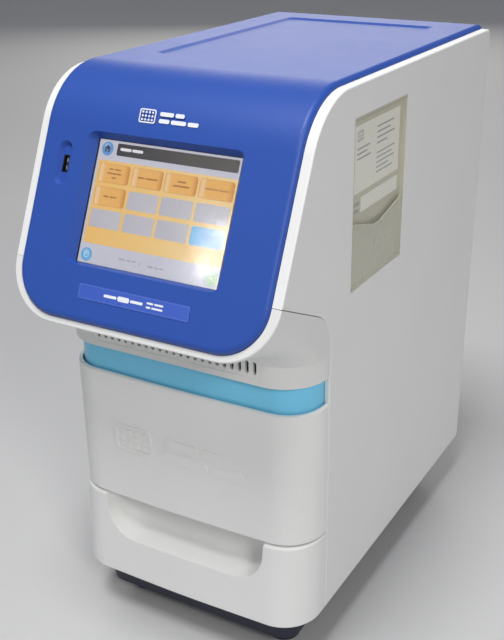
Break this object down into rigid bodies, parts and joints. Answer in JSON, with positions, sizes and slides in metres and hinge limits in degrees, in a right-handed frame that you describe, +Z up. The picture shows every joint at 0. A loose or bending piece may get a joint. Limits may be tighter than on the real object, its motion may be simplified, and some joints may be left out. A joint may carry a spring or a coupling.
{
  "type": "thermal cycler",
  "caption": "Bench thermal cycler: tall case with a tilted touch screen, a front drawer holding a 96-well heating block, and fluorescence optics above it.",
  "frame": {"origin": "middle of the footprint, on the bench surface under the feet", "axes": "+Z up, +Y towards the rear, -Y is the front with the screen and drawer, +X to the viewer's right"},
  "size_m": [0.246, 0.4522, 0.515],
  "materials": {
    "panel_white": "fine textured moulded plastic",
    "cover_blue": "satin moulded plastic",
    "tray_teal": "satin moulded plastic",
    "plinth_navy": "satin moulded plastic",
    "rubber_black": "matt",
    "rear_grey": "textured powder coat",
    "steel_sheet": "zinc plated",
    "screw_steel": "nickel plated",
    "touch_glass": "clear",
    "display_lit": "lit screen",
    "socket_black": "moulded",
    "badge_film": "satin film",
    "pocket_grey": "moulded",
    "pouch_clear": "frosted",
    "card_paper": "printed card",
    "board_green": "solder mask",
    "metal_socket": "plated",
    "block_silver": "satin, plated",
    "heat_sink_alu": "extruded",
    "optics_black": "black anodised",
    "peltier_ceramic": "matt",
    "filter_glass": "coated",
    "fan_black": "moulded",
    "motor_metal": "plain"
  },
  "bodies": {
    "chassis": {"side_panel_right": "panel_white", "side_panel_left": "panel_white", "top_front_cover": "cover_blue", "chin_cover": "panel_white", "lower_front_panel": "panel_white", "rear_panel": "rear_grey", "rear_panel_screws": "screw_steel", "base_plate": "steel_sheet", "base_plinth": "plinth_navy", "rubber_feet": "rubber_black", "screen_glass": "touch_glass", "screen_gasket": "rubber_black", "lcd_module": "metal_socket", "display_panel": "display_lit", "display_board": "board_green", "front_usb_port": "socket_black", "badge_plate": "badge_film", "card_pocket": "pocket_grey", "pocket_pouch": "pouch_clear", "info_label": "card_paper", "strip_label": "card_paper", "power_inlet": "socket_black", "power_switch_frame": "socket_black", "ethernet_socket": "metal_socket", "usb_sockets": "metal_socket", "serial_port": "metal_socket", "inner_frame": "steel_sheet", "power_supply": "steel_sheet", "main_board": "board_green", "rails_outer": "steel_sheet", "optics_housing": "optics_black", "optics_lid": "optics_black", "led_module": "heat_sink_alu", "excitation_filter": "filter_glass", "dichroic_plate": "filter_glass", "camera_module": "optics_black", "filter_motor": "motor_metal", "fan_frames": "fan_black", "catch_plates": "steel_sheet", "guide_rods": "screw_steel"},
    "drawer": {"drawer_front": "panel_white", "drawer_tray": "tray_teal", "drawer_chassis": "steel_sheet", "drawer_magnets": "motor_metal", "sample_block": "block_silver", "peltier_modules": "peltier_ceramic", "heat_sink": "heat_sink_alu", "rails_inner": "steel_sheet"},
    "slide_intermediates": {"rails_mid": "steel_sheet"},
    "heated_cover": {"heated_cover_plate": "block_silver", "heater_pad": "rubber_black", "cover_frame": "optics_black"},
    "filter_wheel_body": {"filter_wheel": "optics_black", "emission_filters": "filter_glass"},
    "left_fan": {"fan_rotor_left": "fan_black"},
    "right_fan": {"fan_rotor_right": "fan_black"},
    "rocker": {"power_rocker": "socket_black"},
    "guide_card": {"reference_card": "card_paper"},
    "fuse_holder": {"fuse_drawer": "socket_black"}
  },
  "joints": [
    {"name": "drawer_slide", "type": "slide", "parent": "chassis", "child": "drawer", "axis": [0, -1, 0], "range_m": [0, 0.235]},
    {"name": "rail_extension", "type": "slide", "parent": "chassis", "child": "slide_intermediates", "axis": [0, -1, 0], "range_m": [0, 0.12]},
    {"name": "cover_lift", "type": "slide", "parent": "chassis", "child": "heated_cover", "axis": [0, 0, 1], "range_m": [0, 0.012]},
    {"name": "filter_wheel_spin", "type": "hinge", "parent": "chassis", "child": "filter_wheel_body", "pos_m": [0.021, -0.025, 0.434], "axis": [0, 0, 1], "continuous": true},
    {"name": "left_fan_spin", "type": "hinge", "parent": "chassis", "child": "left_fan", "pos_m": [-0.042, 0.2045, 0.19], "axis": [0, 1, 0], "continuous": true},
    {"name": "right_fan_spin", "type": "hinge", "parent": "chassis", "child": "right_fan", "pos_m": [0.042, 0.2045, 0.19], "axis": [0, 1, 0], "continuous": true},
    {"name": "power_switch_tilt", "type": "hinge", "parent": "chassis", "child": "rocker", "pos_m": [0.078, 0.218, 0.128], "axis": [1, 0, 0], "range_deg": [-16, 0]},
    {"name": "reference_card_lift", "type": "slide", "parent": "chassis", "child": "guide_card", "axis": [0, 0, 1], "range_m": [0, 0.06]},
    {"name": "fuse_drawer_slide", "type": "slide", "parent": "chassis", "child": "fuse_holder", "axis": [0, 1, 0], "range_m": [0, 0.02]}
  ],
  "couplings": [
    {"joint": "rail_extension", "follows": "drawer_slide", "ratio": 0.5},
    {"joint": "cover_lift", "follows": "drawer_slide", "ratio": 0.05}
  ]
}
